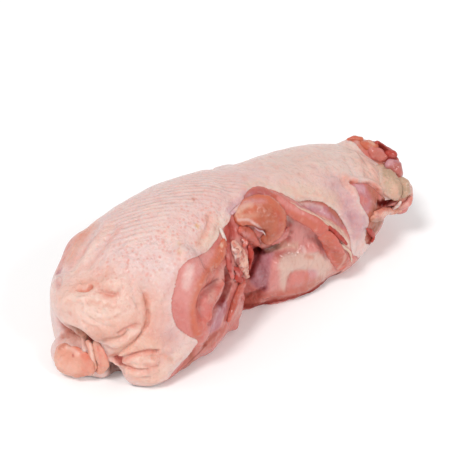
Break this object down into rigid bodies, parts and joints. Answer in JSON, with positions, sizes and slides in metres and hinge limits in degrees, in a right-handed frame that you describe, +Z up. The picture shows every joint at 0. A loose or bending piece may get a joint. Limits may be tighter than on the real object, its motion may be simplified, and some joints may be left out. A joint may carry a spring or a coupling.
{
  "type": "raw chicken back",
  "caption": "Raw chicken back with its skin, tail and cut neck end, laid on its open side, one leg joint showing.",
  "frame": {"origin": "on the surface the piece rests on, under the middle of its bounding box", "axes": "+X along the spine from the tail to the neck, +Y to the bird's left, +Z up with the bird's back on top"},
  "size_m": [0.2064, 0.0827, 0.0676],
  "materials": {
    "raw_skin": "damp, pale pink, finely ridged and pitted skin",
    "raw_muscle": "wet red-orange muscle with pale fascia",
    "raw_fat": "wet cream and yellow fat",
    "cut_bone": "porous cut bone end with red marrow"
  },
  "bodies": {
    "root": {"chicken_back": "raw_skin"}
  },
  "joints": []
}
